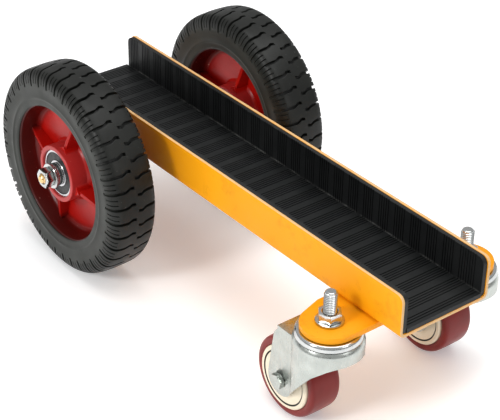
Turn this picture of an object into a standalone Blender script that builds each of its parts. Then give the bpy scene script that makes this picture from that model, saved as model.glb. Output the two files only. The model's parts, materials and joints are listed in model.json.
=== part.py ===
"""Slab dolly: a rubber-lined steel trough on two large rear wheels and two swivel casters.

+X points to the caster end, +Y to the left side, +Z up. The floor is Z = 0, in metres.
"""

import math

import bmesh
import bpy
from mathutils import Matrix

GAP = 0.0003  # clearance between pieces that touch
LARGE_STEPS = 32  # facets round the rear wheels
MEDIUM_STEPS = 24
SMALL_STEPS = 16

TROUGH_LENGTH = 0.525
TROUGH_WIDTH = 0.100
TROUGH_HEIGHT = 0.0415
SHEET = 0.003
BEND_RADIUS = 0.006  # outside of the two long bends
CORNER_CLIP = 0.007  # at the top end corners of the walls
LINER = 0.0042
LINER_SETBACK = 0.001  # wall liners from both ends of the trough
LINER_OVERHANG = 0.0015  # past the rear end of the trough

WHEEL_RADIUS = 0.104
WHEEL_SETBACK = 0.1229  # axle from the rear end of the trough
WHEEL_OFFSET = 0.10175  # mid-plane of a rear wheel from the centre line
TYRE_HALF_WIDTH = 0.025
RIM_OPENING = 0.0685
BARREL_WAIST = 0.0648
RIM_OUTSIDE = 0.0716
HUB_RADIUS = 0.0285
HUB_HALF_LENGTH = 0.0233
WEB_HALF = 0.0033
RIB_PAIRS = 2  # ribs that face each other across the hub
RIB_THICKNESS = 0.004
RIB_ANGLES = {"right": 74.0, "left": 14.0}  # degrees, of one rib from the local X axis
AXLE_RADIUS = 0.0085
BEARING_RADIUS = 0.0235
BEARING_WIDTH = 0.014
BEARING_RECESS = 0.002
AXLE_THREAD = 0.005  # M10, at both ends of the axle
THREAD_RADIUS = 0.006  # M12, on the caster stems

STEM_SETBACK = 0.4702  # caster stems from the rear end of the trough
STEM_OFFSET = 0.078
STEM_HEIGHT = 0.030  # above the bottom of the trough
PLATE = 0.006
EAR_RADIUS = 0.0255
EAR_FLARE = 0.0045
CASTER_RADIUS = 0.0383
CASTER_TRAIL = 0.0365
TREAD_HALF = 0.016
TREAD_INSIDE = 0.0305
CORE_RADIUS = 0.0302
CORE_HALF = 0.0175
COVER_RADIUS = 0.0250
RACE_RADIUS = 0.0295
FORK_HALF = 0.021
FORK_SHEET = 0.0025
FORK_ROUND = 0.031
FORK_REAR = 0.042
FORK_TIP = 0.016

REAR_END = -(TROUGH_LENGTH - LINER_OVERHANG) / 2
FRONT_END = REAR_END + TROUGH_LENGTH
WHEEL_X = REAR_END + WHEEL_SETBACK
STEM_X = REAR_END + STEM_SETBACK
TROUGH_BOTTOM = WHEEL_RADIUS + AXLE_RADIUS + GAP
INSIDE_FLOOR = TROUGH_BOTTOM + SHEET
PLATE_TOP = TROUGH_BOTTOM - GAP
PLATE_BOTTOM = PLATE_TOP - PLATE
RACE_WALL = 0.002
UPPER_BALL = 0.0024
LOWER_BALL = 0.0020
FORK_CUP_TOP = PLATE_BOTTOM - RACE_WALL - 3 * GAP - 2 * UPPER_BALL
FORK_TOP = FORK_CUP_TOP - 0.0058  # of the two flat legs
SIDES = {"right": -1, "left": 1}

COLOURS = {
    "yellow_paint": ((0.86, 0.36, 0.012), 0.35, 0.0),
    "liner_rubber": ((0.018, 0.018, 0.018), 0.65, 0.0),
    "tyre_rubber": ((0.035, 0.037, 0.034), 0.6, 0.0),
    "red_rim": ((0.42, 0.012, 0.010), 0.3, 0.0),
    "caster_red": ((0.19, 0.028, 0.03), 0.4, 0.0),
    "cream_nylon": ((0.72, 0.60, 0.45), 0.5, 0.0),
    "zinc": ((0.72, 0.74, 0.76), 0.3, 1.0),
    "bearing_steel": ((0.5, 0.5, 0.52), 0.25, 1.0),
}


def clear_scene():
    for obj in list(bpy.data.objects):
        bpy.data.objects.remove(obj, do_unlink=True)


def make_collection(name):
    collection = bpy.data.collections.new(name)
    bpy.context.scene.collection.children.link(collection)
    return collection


def make_material(name):
    colour, roughness, metallic = COLOURS[name]
    material = bpy.data.materials.new(name)
    material.use_nodes = True
    shader = material.node_tree.nodes["Principled BSDF"]
    shader.inputs["Base Color"].default_value = (*colour, 1.0)
    shader.inputs["Roughness"].default_value = roughness
    shader.inputs["Metallic"].default_value = metallic
    material.diffuse_color = (*colour, 1.0)
    return material


def add_object(name, mesh, finish, matrix):
    obj = bpy.data.objects.new(name, mesh)
    obj.matrix_world = matrix
    parts.objects.link(obj)
    mesh.materials.clear()
    mesh.materials.append(make_material(finish))
    mesh.shade_smooth()
    mesh.set_sharp_from_angle(angle=math.radians(35))
    return obj


def as_helper(obj):
    """Moves a piece that only cuts or joins another out of the model."""
    parts.objects.unlink(obj)
    cutters.objects.link(obj)
    obj.hide_render = True
    obj.display_type = "WIRE"
    return obj


def combine(target, helper, operation):
    modifier = target.modifiers.new(helper.name, "BOOLEAN")
    modifier.operation = operation
    modifier.object = as_helper(helper)


def turned(name, profile, finish, matrix, steps=SMALL_STEPS):
    """Turns a closed profile of (radius, height) points round the local Z axis."""
    shape = bmesh.new()
    corners = [shape.verts.new((radius, 0.0, height)) for radius, height in profile]
    for first, second in zip(corners, corners[1:] + corners[:1]):
        if first.co.x > 0 or second.co.x > 0:
            shape.edges.new((first, second))
    mesh = bpy.data.meshes.new(name)
    shape.to_mesh(mesh)
    shape.free()
    obj = add_object(name, mesh, finish, matrix)
    screw = obj.modifiers.new("turn", "SCREW")
    screw.steps = screw.render_steps = steps
    screw.use_merge_vertices = True
    screw.merge_threshold = 1e-5
    screw.use_smooth_shade = True
    return obj


def ring(inner, outer, low, high):
    """Profile of a plain ring, down its outer side and up its bore."""
    return [(outer, high), (outer, low), (inner, low), (inner, high)]


def disc(radius, low, high):
    return [(0.0, high), (radius, high), (radius, low), (0.0, low)]


def extruded(name, outline, thickness, finish, matrix):
    """A flat outline in the local XY plane, thickened evenly to both sides."""
    curve = bpy.data.curves.new(name, "CURVE")
    curve.dimensions = "2D"
    curve.fill_mode = "BOTH"
    curve.extrude = thickness / 2
    spline = curve.splines.new("POLY")
    spline.points.add(len(outline) - 1)
    for point, (x, y) in zip(spline.points, outline):
        point.co = (x, y, 0.0, 1.0)
    spline.use_cyclic_u = True
    source = bpy.data.objects.new(name + "_outline", curve)
    parts.objects.link(source)
    bpy.context.view_layer.update()
    graph = bpy.context.evaluated_depsgraph_get()
    mesh = bpy.data.meshes.new_from_object(source.evaluated_get(graph))
    bpy.data.objects.remove(source, do_unlink=True)
    shape = bmesh.new()
    shape.from_mesh(mesh)
    bmesh.ops.remove_doubles(shape, verts=shape.verts, dist=1e-6)
    bmesh.ops.recalc_face_normals(shape, faces=shape.faces)
    shape.to_mesh(mesh)
    shape.free()
    return add_object(name, mesh, finish, matrix)


def arc(centre, radius, start, end, steps):
    """Points on an arc, its angles in degrees."""
    angles = [math.radians(start + (end - start) * i / steps) for i in range(steps + 1)]
    return [(centre[0] + radius * math.cos(a), centre[1] + radius * math.sin(a)) for a in angles]


def hexagon(flats):
    return arc((0.0, 0.0), flats / math.sqrt(3), 0, 300, 5)


def at(x, y, z):
    return Matrix.Translation((x, y, z))


def outboard(side):
    """Turns the local Z axis to point away from the centre line."""
    return Matrix.Rotation(math.radians(-90 * SIDES[side]), 4, "X")


def side_view():
    """Turns the local XY plane to the world's XZ plane."""
    return Matrix.Rotation(math.radians(90), 4, "X")


def hex_nut(name, flats, bore, height, matrix, finish="zinc"):
    nut = extruded(name, hexagon(flats), height, finish, matrix)
    combine(nut, turned(name + "_bore", disc(bore, -height, height), finish, matrix), "DIFFERENCE")
    return nut


def build_trough():
    half_width = TROUGH_WIDTH / 2
    top = TROUGH_BOTTOM + TROUGH_HEIGHT
    bend = BEND_RADIUS
    right_bend = arc((-half_width + bend, TROUGH_BOTTOM + bend), bend, 180, 270, 4)
    section = [(-half_width, top), *right_bend]
    section += [(-y, z) for y, z in reversed(section)]
    shape = bmesh.new()
    corners = [shape.verts.new((REAR_END, y, z)) for y, z in section]
    edges = [shape.edges.new(pair) for pair in zip(corners, corners[1:])]
    swept = bmesh.ops.extrude_edge_only(shape, edges=edges)["geom"]
    moved = [item for item in swept if isinstance(item, bmesh.types.BMVert)]
    bmesh.ops.translate(shape, verts=moved, vec=(TROUGH_LENGTH, 0.0, 0.0))
    tops = [vert for vert in shape.verts if vert.co.z > top - 1e-6]
    bmesh.ops.bevel(shape, geom=tops, offset=CORNER_CLIP, segments=3, profile=0.5, affect="VERTICES")
    bmesh.ops.recalc_face_normals(shape, faces=shape.faces)
    if sum(face.normal.z for face in shape.faces) > 0:
        bmesh.ops.reverse_faces(shape, faces=shape.faces)
    mesh = bpy.data.meshes.new("trough")
    shape.to_mesh(mesh)
    shape.free()
    trough = add_object("trough", mesh, "yellow_paint", Matrix())
    solidify = trough.modifiers.new("sheet", "SOLIDIFY")
    solidify.thickness = SHEET
    solidify.offset = -1.0
    solidify.use_even_offset = True


def add_box(name, low, high, finish):
    shape = bmesh.new()
    bmesh.ops.create_cube(shape, size=1.0)
    size = [b - a for a, b in zip(low, high)]
    centre = [(a + b) / 2 for a, b in zip(low, high)]
    bmesh.ops.scale(shape, vec=size, verts=shape.verts)
    bmesh.ops.translate(shape, vec=centre, verts=shape.verts)
    mesh = bpy.data.meshes.new(name)
    shape.to_mesh(mesh)
    shape.free()
    return add_object(name, mesh, finish, Matrix())


def build_liners():
    """The floor strip lies between the two wall strips, whose feet stand just above the bends."""
    inside = TROUGH_WIDTH / 2 - SHEET - GAP
    floor_half = inside - LINER - GAP
    low = INSIDE_FLOOR + GAP
    high = low + LINER
    add_box(
        "floor_liner",
        (REAR_END - LINER_OVERHANG, -floor_half, low),
        (FRONT_END - GAP, floor_half, high),
        "liner_rubber",
    )
    foot = TROUGH_BOTTOM + BEND_RADIUS + GAP
    top = TROUGH_BOTTOM + TROUGH_HEIGHT - GAP
    rear, front = REAR_END + LINER_SETBACK, FRONT_END - LINER_SETBACK
    outline = [(rear, foot), (front, foot)]
    outline += arc((front - CORNER_CLIP, top - CORNER_CLIP), CORNER_CLIP, 0, 90, 4)
    outline += arc((rear + CORNER_CLIP, top - CORNER_CLIP), CORNER_CLIP, 90, 180, 4)
    for side, sign in SIDES.items():
        place = at(0.0, sign * (inside - LINER / 2), 0.0) @ side_view()
        extruded(f"wall_liner_{side}", outline, LINER, "liner_rubber", place)


def build_caster_plate():
    """One plate under the trough, whose rounded ends carry the caster stems."""
    ear = [(EAR_RADIUS, 0.0), *arc((0.0, 0.0), EAR_RADIUS, 0, 155, 14)]
    ear.append((-EAR_RADIUS - EAR_FLARE, -0.012))
    left = [(x, STEM_OFFSET + y) for x, y in ear[1:]]
    right = [(x, -y) for x, y in reversed(left)]
    plate = extruded(
        "caster_plate", left + right, PLATE, "yellow_paint", at(STEM_X, 0.0, PLATE_TOP - PLATE / 2)
    )
    for side, sign in SIDES.items():
        place = at(STEM_X, sign * STEM_OFFSET, PLATE_TOP - PLATE / 2)
        hole = turned(f"stem_hole_{side}", disc(THREAD_RADIUS + GAP, -PLATE, PLATE), "zinc", place)
        combine(plate, hole, "DIFFERENCE")


def build_axle():
    """A dead axle across both wheels, stepped down to a thread at each end."""
    seat = WHEEL_OFFSET + HUB_HALF_LENGTH + 0.0046
    end = seat + 0.0135
    half = [
        (AXLE_THREAD - 0.001, end),
        (AXLE_THREAD, end - 0.001),
        (AXLE_THREAD, seat),
        (AXLE_RADIUS, seat),
    ]
    profile = [(0.0, end), *half, *[(r, -h) for r, h in reversed(half)], (0.0, -end)]
    turned("axle", profile, "zinc", at(WHEEL_X, 0.0, WHEEL_RADIUS) @ side_view())


def rim_profile():
    """Section of the rim's barrel, web and solid hub."""
    mid = HUB_HALF_LENGTH
    half = [
        (RIM_OUTSIDE, mid),
        (RIM_OPENING, mid),
        (BARREL_WAIST, WEB_HALF + 0.002),
        (BARREL_WAIST - 0.002, WEB_HALF),
        (HUB_RADIUS + 0.002, WEB_HALF),
        (HUB_RADIUS, WEB_HALF + 0.002),
        (HUB_RADIUS, mid),
        (0.0, mid),
    ]
    return [(r, -h) for r, h in half] + list(reversed(half))


def bearing_bore():
    """Section of the cut for a bearing at each end and the narrower bore between them."""
    shoulder = HUB_HALF_LENGTH - BEARING_RECESS - BEARING_WIDTH - GAP
    seat, middle, beyond = BEARING_RADIUS + GAP, BEARING_RADIUS - 0.004, HUB_HALF_LENGTH + 0.001
    half = [(0.0, beyond), (seat, beyond), (seat, shoulder), (middle, shoulder)]
    return half + [(r, -h) for r, h in reversed(half)]


def build_rim(side, centre):
    """Barrel, web and hub in one piece, with a square boss whose corners run out into ribs."""
    rim = turned(f"rim_{side}", rim_profile(), "red_rim", centre, LARGE_STEPS)
    place = centre @ Matrix.Rotation(math.radians(RIB_ANGLES[side]), 4, "Z")
    boss_corner, boss_depth = 0.034, 0.004
    boss_half = HUB_HALF_LENGTH - boss_depth
    boss = extruded(
        f"rim_boss_{side}", arc((0.0, 0.0), boss_corner, 0, 270, 3), 2 * boss_half, "red_rim", place
    )
    combine(rim, boss, "UNION")
    low, high = boss_half - 0.0015, HUB_HALF_LENGTH - 0.013
    quarter = [(boss_corner - 0.004, low), (RIM_OPENING - 0.001, high)]
    upper = [(-x, y) for x, y in reversed(quarter)] + quarter
    outline = upper + [(x, -y) for x, y in reversed(upper)]
    for index in range(RIB_PAIRS):
        turn = Matrix.Rotation(index * math.pi / RIB_PAIRS, 4, "Z")
        rib = extruded(
            f"rim_ribs_{side}_{index}", outline, RIB_THICKNESS, "red_rim", place @ turn @ side_view()
        )
        combine(rim, rib, "UNION")
    bore = turned(f"rim_bore_{side}", bearing_bore(), "red_rim", centre, MEDIUM_STEPS)
    combine(rim, bore, "DIFFERENCE")


def build_rear_wheel(side):
    sign = SIDES[side]
    centre = at(WHEEL_X, sign * WHEEL_OFFSET, WHEEL_RADIUS) @ outboard(side)
    build_rim(side, centre)
    shoulder = [
        (RIM_OPENING + 0.0005, TYRE_HALF_WIDTH - 0.0006),
        (0.0760, TYRE_HALF_WIDTH),
        (0.0925, TYRE_HALF_WIDTH),
        (0.0980, TYRE_HALF_WIDTH - 0.0010),
        (0.1018, TYRE_HALF_WIDTH - 0.0040),
        (0.1036, TYRE_HALF_WIDTH - 0.0090),
        (WHEEL_RADIUS, 0.0),
    ]
    lip = [(RIM_OUTSIDE + GAP, HUB_HALF_LENGTH + GAP), (RIM_OPENING + 0.0005, HUB_HALF_LENGTH + GAP)]
    outer = shoulder + [(r, -h) for r, h in reversed(shoulder[:-1])]
    inner = [(r, -h) for r, h in reversed(lip)] + lip
    turned(f"tyre_{side}", outer + inner, "tyre_rubber", centre, LARGE_STEPS)

    edge = HUB_HALF_LENGTH - BEARING_RECESS
    bore = AXLE_RADIUS + GAP
    inner_ring = bore + 0.0035
    for name, high in (("outer", edge), ("inner", BEARING_WIDTH - edge)):
        low = high - BEARING_WIDTH
        section = ring(bore, BEARING_RADIUS, low, high)
        turned(f"{name}_bearing_{side}", section, "bearing_steel", centre, MEDIUM_STEPS)
    between = edge - BEARING_WIDTH - GAP
    turned(f"hub_spacer_{side}", ring(bore, inner_ring, -between, between), "zinc", centre)
    sleeve_low = -(WHEEL_OFFSET - TROUGH_WIDTH / 2 - GAP)
    turned(f"inboard_sleeve_{side}", ring(bore, inner_ring, sleeve_low, -edge - GAP), "zinc", centre)
    collar_top = HUB_HALF_LENGTH + 0.0045
    collar = ring(bore, inner_ring - 0.001, edge + GAP, collar_top)
    turned(f"outboard_collar_{side}", collar, "zinc", centre)
    washer_low = collar_top + GAP
    washer_top = washer_low + 0.002
    turned(
        f"axle_washer_{side}", ring(AXLE_THREAD + GAP, 0.0125, washer_low, washer_top), "zinc", centre
    )
    nut_height = 0.0085
    hex_nut(
        f"axle_nut_{side}", 0.017, AXLE_THREAD + GAP, nut_height,
        centre @ at(0.0, 0.0, washer_top + GAP + nut_height / 2),
    )


def ball_cage(name, pitch, ball_radius, count, place):
    """Balls in a thin cage ring, joined into one body."""
    thin = 0.0006
    section = ring(pitch - 0.0012, pitch + 0.0012, -thin, thin)
    cage = turned(name, section, "bearing_steel", place, MEDIUM_STEPS)
    shape = bmesh.new()
    for index in range(count):
        angle = index * math.tau / count
        spot = Matrix.Translation((pitch * math.cos(angle), pitch * math.sin(angle), 0.0))
        bmesh.ops.create_uvsphere(shape, u_segments=6, v_segments=4, radius=ball_radius, matrix=spot)
    mesh = bpy.data.meshes.new(name + "_balls")
    shape.to_mesh(mesh)
    shape.free()
    combine(cage, add_object(name + "_balls", mesh, "bearing_steel", place), "UNION")


def build_stem(side, axis):
    """The threaded kingpin, headed under the lower race and nutted above the plate."""
    foot = PLATE_BOTTOM - 0.0262
    top = TROUGH_BOTTOM + STEM_HEIGHT
    profile = [
        (0.0, top),
        (THREAD_RADIUS - 0.001, top),
        (THREAD_RADIUS, top - 0.001),
        (THREAD_RADIUS, foot + 0.004),
        (0.009, foot + 0.004),
        (0.009, foot + 0.0015),
        (0.007, foot),
        (0.0, foot),
    ]
    turned(f"caster_stem_{side}", profile, "zinc", axis)
    washer_low = PLATE_TOP + GAP
    washer_top = washer_low + 0.002
    turned(
        f"stem_washer_{side}", ring(THREAD_RADIUS + GAP, 0.0125, washer_low, washer_top), "zinc", axis
    )
    nut_height = 0.008
    hex_nut(
        f"stem_nut_{side}", 0.019, THREAD_RADIUS + GAP, nut_height,
        axis @ at(0.0, 0.0, washer_top + GAP + nut_height / 2),
    )


def build_races(side, axis):
    """Upper race, two caged ball rows and the lower race, about the fork's top."""
    bore = THREAD_RADIUS + GAP
    top = PLATE_BOTTOM - GAP
    wall = RACE_WALL
    rim_low = top - 0.006
    upper = [
        (RACE_RADIUS - 0.0012, top),
        (RACE_RADIUS, top - 0.0012),
        (RACE_RADIUS, rim_low),
        (RACE_RADIUS - wall, rim_low),
        (RACE_RADIUS - wall, top - wall),
        (bore, top - wall),
        (bore, top),
    ]
    turned(f"upper_race_{side}", upper, "zinc", axis, MEDIUM_STEPS)
    upper_place = axis @ at(0.0, 0.0, top - wall - GAP - UPPER_BALL)
    ball_cage(f"upper_balls_{side}", 0.024, UPPER_BALL, 12, upper_place)
    fork_under = FORK_CUP_TOP - FORK_SHEET
    lower_place = axis @ at(0.0, 0.0, fork_under - GAP - LOWER_BALL)
    ball_cage(f"lower_balls_{side}", 0.016, LOWER_BALL, 8, lower_place)
    race_top = fork_under - 2 * GAP - 2 * LOWER_BALL
    lower = ring(bore, 0.0195, race_top - wall, race_top)
    turned(f"lower_race_{side}", lower, "zinc", axis)


def fork_side_outline():
    """Side view of the fork's walls about the stem, from the top rear corner round."""
    wheel = (-CASTER_TRAIL, CASTER_RADIUS)
    low = PLATE_BOTTOM
    tip = arc(wheel, FORK_TIP, 175, 318, 8)
    front = [(0.0190, low - 0.0275), (0.0250, low - 0.0225), (0.0340, low - 0.0200)]
    return [(-0.0400, FORK_TOP - 0.001), (-0.0462, low - 0.0230), *tip, *front, (0.0340, FORK_TOP - 0.001)]


def build_fork(side, axis):
    """A pressed fork: round race cup and top plate, and walls that wrap the front and run back flat."""
    top = FORK_CUP_TOP
    low = FORK_TOP - FORK_SHEET
    cup = [
        (RACE_RADIUS, top + 0.0008),
        (RACE_RADIUS, low),
        (RACE_RADIUS - FORK_SHEET, low),
        (RACE_RADIUS - FORK_SHEET, top - FORK_SHEET),
        (THREAD_RADIUS + 0.001, top - FORK_SHEET),
        (THREAD_RADIUS + 0.001, top),
        (RACE_RADIUS - 0.0015, top),
        (RACE_RADIUS - 0.0010, top + 0.0008),
    ]
    fork = turned(f"fork_{side}", cup, "zinc", axis, MEDIUM_STEPS)

    half, inside = FORK_HALF, FORK_HALF - FORK_SHEET
    bend = math.degrees(math.asin(half / FORK_ROUND))
    bend_inside = math.degrees(math.asin(inside / (FORK_ROUND - FORK_SHEET)))
    outer = arc((0.0, 0.0), FORK_ROUND, bend - 180, 180 - bend, 16)
    inner = arc((0.0, 0.0), FORK_ROUND - FORK_SHEET, 180 - bend_inside, bend_inside - 180, 16)
    rear = -0.06
    plan = [(rear, -half), *outer, (rear, half), (rear, inside), *inner, (rear, -inside)]
    height = 0.09
    walls = extruded(
        f"fork_walls_{side}", plan, height, "zinc", axis @ at(0.0, 0.0, FORK_TOP - height / 2)
    )
    profile = extruded(f"fork_profile_{side}", fork_side_outline(), 0.08, "zinc", axis @ side_view())
    combine(walls, profile, "INTERSECT")
    combine(fork, walls, "UNION")

    ledge = [(-0.0180, -half), (-0.0180, half), (-FORK_REAR, half), (-FORK_REAR, -half)]
    thickness = FORK_SHEET
    top_plate = extruded(
        f"fork_ledge_{side}", ledge, thickness, "zinc", axis @ at(0.0, 0.0, FORK_TOP - thickness / 2)
    )
    inner_space = turned(
        f"fork_ledge_cut_{side}", disc(RACE_RADIUS - FORK_SHEET, -0.01, 0.01), "zinc",
        axis @ at(0.0, 0.0, FORK_TOP), MEDIUM_STEPS,
    )
    combine(top_plate, inner_space, "DIFFERENCE")
    combine(fork, top_plate, "UNION")
    wheel_axis = axis @ at(-CASTER_TRAIL, 0.0, CASTER_RADIUS) @ side_view()
    bolt_hole = turned(f"fork_bolt_hole_{side}", disc(0.0043, -0.04, 0.04), "zinc", wheel_axis)
    combine(fork, bolt_hole, "DIFFERENCE")


def build_caster_wheel(side, axis):
    centre = axis @ at(-CASTER_TRAIL, 0.0, CASTER_RADIUS) @ outboard(side)
    half = [
        (TREAD_INSIDE, TREAD_HALF - 0.0003),
        (0.0345, TREAD_HALF),
        (0.0370, TREAD_HALF - 0.0015),
        (CASTER_RADIUS - 0.0002, TREAD_HALF - 0.0045),
        (CASTER_RADIUS, TREAD_HALF - 0.0080),
    ]
    tread = half + [(r, -h) for r, h in reversed(half)]
    turned(f"caster_tread_{side}", tread, "caster_red", centre, MEDIUM_STEPS)
    bearing_outside = 0.0110
    seat = 0.0085
    core_half = [
        (CORE_RADIUS, CORE_HALF - 0.0015),
        (CORE_RADIUS - 0.0012, CORE_HALF),
        (COVER_RADIUS + GAP, CORE_HALF),
        (COVER_RADIUS + GAP, CORE_HALF - 0.0022),
        (bearing_outside + GAP, CORE_HALF - 0.0022),
        (bearing_outside + GAP, CORE_HALF - seat),
        (0.0080, CORE_HALF - seat),
    ]
    core = [(r, -h) for r, h in core_half] + list(reversed(core_half))
    turned(f"caster_core_{side}", core, "cream_nylon", centre, MEDIUM_STEPS)
    sleeve_radius = 0.0050
    for name, sign in (("outer", 1), ("inner", -1)):
        cover = sorted((sign * (CORE_HALF - 0.0018), sign * (CORE_HALF - 0.0004)))
        disc_section = ring(sleeve_radius + GAP, COVER_RADIUS, *cover)
        turned(f"{name}_cover_{side}", disc_section, "cream_nylon", centre, MEDIUM_STEPS)
        span = sorted((sign * (CORE_HALF - 0.0023), sign * (CORE_HALF - seat + GAP)))
        turned(
            f"{name}_caster_bearing_{side}", ring(sleeve_radius + GAP, bearing_outside, *span),
            "bearing_steel", centre,
        )
    inside = FORK_HALF - FORK_SHEET - GAP
    bolt_radius = 0.0040
    turned(
        f"axle_sleeve_{side}", ring(bolt_radius + GAP, sleeve_radius, -inside, inside), "zinc", centre
    )
    build_axle_bolt(side, centre, bolt_radius)


def build_axle_bolt(side, centre, radius):
    """The hexagon head lies outboard, and the nut on the inboard leg."""
    face = FORK_HALF + GAP
    head_height = 0.0053
    nut_height = 0.0065
    bolt = extruded(
        f"caster_bolt_{side}", hexagon(0.013), head_height, "zinc",
        centre @ at(0.0, 0.0, face + head_height / 2),
    )
    shank = turned(
        f"caster_bolt_shank_{side}", disc(radius, -face - nut_height - 0.0025, face + 0.001),
        "zinc", centre,
    )
    combine(bolt, shank, "UNION")
    hex_nut(
        f"caster_bolt_nut_{side}", 0.013, radius + GAP, nut_height,
        centre @ at(0.0, 0.0, -face - nut_height / 2),
    )


clear_scene()
parts = make_collection("slab_dolly")
cutters = make_collection("cutters")
build_trough()
build_liners()
build_caster_plate()
build_axle()
for side_name, side_sign in SIDES.items():
    build_rear_wheel(side_name)
    stem_axis = at(STEM_X, side_sign * STEM_OFFSET, 0.0)
    build_stem(side_name, stem_axis)
    build_races(side_name, stem_axis)
    build_fork(side_name, stem_axis)
    build_caster_wheel(side_name, stem_axis)
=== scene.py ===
import json
import math

import bmesh
import bpy
from mathutils import Matrix, Vector


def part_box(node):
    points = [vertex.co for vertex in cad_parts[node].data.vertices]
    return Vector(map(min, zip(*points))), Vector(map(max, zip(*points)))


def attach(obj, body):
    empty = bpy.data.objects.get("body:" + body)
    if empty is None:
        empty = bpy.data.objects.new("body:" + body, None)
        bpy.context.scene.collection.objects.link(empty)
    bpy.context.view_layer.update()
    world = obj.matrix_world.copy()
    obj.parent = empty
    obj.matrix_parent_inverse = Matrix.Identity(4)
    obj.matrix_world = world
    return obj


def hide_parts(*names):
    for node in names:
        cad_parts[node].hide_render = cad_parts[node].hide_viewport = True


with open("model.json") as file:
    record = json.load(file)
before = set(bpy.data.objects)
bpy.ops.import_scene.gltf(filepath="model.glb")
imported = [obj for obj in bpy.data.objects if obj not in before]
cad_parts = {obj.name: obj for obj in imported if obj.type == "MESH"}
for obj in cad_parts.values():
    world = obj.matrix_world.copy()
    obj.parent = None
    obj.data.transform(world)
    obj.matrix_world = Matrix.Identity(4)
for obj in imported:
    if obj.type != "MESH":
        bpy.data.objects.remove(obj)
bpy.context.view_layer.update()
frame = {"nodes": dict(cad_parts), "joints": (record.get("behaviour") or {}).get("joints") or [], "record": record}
nodes = frame["nodes"]
jointAt = {joint["name"]: Vector(joint["pos_m"]) for joint in frame["joints"]}
sides = {"right": -1, "left": 1}
fullTurn = 2 * math.pi
tiny = 1e-6
beyond = 0.001  # how far a cutter runs past the faces it cuts


def startMaterial(name, colour, roughness, metallic=0.0):
    material = bpy.data.materials.new(name)
    material.use_nodes = True
    shader = material.node_tree.nodes["Principled BSDF"]
    shader.inputs["Base Color"].default_value = (*colour, 1.0)
    shader.inputs["Roughness"].default_value = roughness
    shader.inputs["Metallic"].default_value = metallic
    return material, material.node_tree, shader


def addNode(tree, kind, **inputs):
    node = tree.nodes.new(kind)
    for key, value in inputs.items():
        node.inputs[key].default_value = value
    return node


def objectCoordinates(tree, scale=(1.0, 1.0, 1.0)):
    place = tree.nodes.new("ShaderNodeTexCoord")
    mapping = addNode(tree, "ShaderNodeMapping", Scale=scale)
    tree.links.new(place.outputs["Object"], mapping.inputs["Vector"])
    return mapping.outputs["Vector"]


def noise(tree, vector, scale, detail=3.0, roughness=0.5):
    node = addNode(tree, "ShaderNodeTexNoise", Scale=scale, Detail=detail, Roughness=roughness)
    tree.links.new(vector, node.inputs["Vector"])
    return node.outputs["Fac"]


def ramp(tree, factor, stops):
    node = tree.nodes.new("ShaderNodeValToRGB")
    tree.links.new(factor, node.inputs["Fac"])
    elements = node.color_ramp.elements
    while len(elements) < len(stops):
        elements.new(0.5)
    for element, (position, value) in zip(elements, stops):
        element.position = position
        element.color = (*value, 1.0) if isinstance(value, tuple) else (value, value, value, 1.0)
    return node.outputs["Color"]


def blend(tree, factor, first, second):
    node = tree.nodes.new("ShaderNodeMix")
    node.data_type = "RGBA"
    for socket, value in ((node.inputs[0], factor), (node.inputs[6], first), (node.inputs[7], second)):
        if isinstance(value, bpy.types.NodeSocket):
            tree.links.new(value, socket)
        elif isinstance(value, tuple):
            socket.default_value = (*value, 1.0)
        else:
            socket.default_value = value
    return node.outputs[2]


def calculate(tree, operation, first, second=0.0):
    node = tree.nodes.new("ShaderNodeMath")
    node.operation = operation
    node.use_clamp = True
    for socket, value in zip(node.inputs, (first, second)):
        if isinstance(value, bpy.types.NodeSocket):
            tree.links.new(value, socket)
        else:
            socket.default_value = value
    return node.outputs[0]


def times(tree, first, second):
    return calculate(tree, "MULTIPLY", first, second)


def patches(tree, vector, scale, detail, low, high, grain=0.5):
    # noise stretched to run from 0 at low to 1 at high
    return ramp(tree, noise(tree, vector, scale, detail, grain), [(low, 0.0), (high, 1.0)])


def roughen(tree, shader, grain, low, high, start=0.3):
    rough = ramp(tree, grain, [(start, low), (0.7, high)])
    tree.links.new(rough, shader.inputs["Roughness"])


def bump(tree, shader, height, strength, distance):
    node = addNode(tree, "ShaderNodeBump", Strength=strength, Distance=distance)
    tree.links.new(height, node.inputs["Height"])
    tree.links.new(node.outputs["Normal"], shader.inputs["Normal"])


def along(tree, axis):
    # one coordinate of the object, in metres
    place = tree.nodes.new("ShaderNodeTexCoord")
    split = tree.nodes.new("ShaderNodeSeparateXYZ")
    tree.links.new(place.outputs["Object"], split.inputs[0])
    return split.outputs[axis]


def attribute(tree, name):
    node = tree.nodes.new("ShaderNodeAttribute")
    node.attribute_name = name
    return node.outputs["Fac"]


def fromAxle(tree, joint="rear_wheel_left_spin"):
    # distance from a wheel's axle, in metres; both wheels of a pair share the line
    centre = jointAt[joint]
    place = tree.nodes.new("ShaderNodeTexCoord")
    centred = addNode(tree, "ShaderNodeMapping", Location=(-centre.x, 0.0, -centre.z), Scale=(1.0, 0.0, 1.0))
    length = tree.nodes.new("ShaderNodeVectorMath")
    length.operation = "LENGTH"
    tree.links.new(place.outputs["Object"], centred.inputs["Vector"])
    tree.links.new(centred.outputs["Vector"], length.inputs[0])
    return length.outputs["Value"]


def band(tree, value, low, high):
    # 0 at low, 1 at high, even in between; low may be the larger of the two
    node = addNode(tree, "ShaderNodeMapRange")
    tree.links.new(value, node.inputs["Value"])
    node.inputs["From Min"].default_value = low
    node.inputs["From Max"].default_value = high
    return node.outputs[0]


paint = {
    "colour": (0.86, 0.350, 0.0015),
    "shade": (0.78, 0.285, 0.0012),
    "worn": (0.66, 0.42, 0.20),  # bare, dirty edges of the sheet
    "brown": (0.34, 0.085, 0.002),
    "roughness": 0.48,
}


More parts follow.
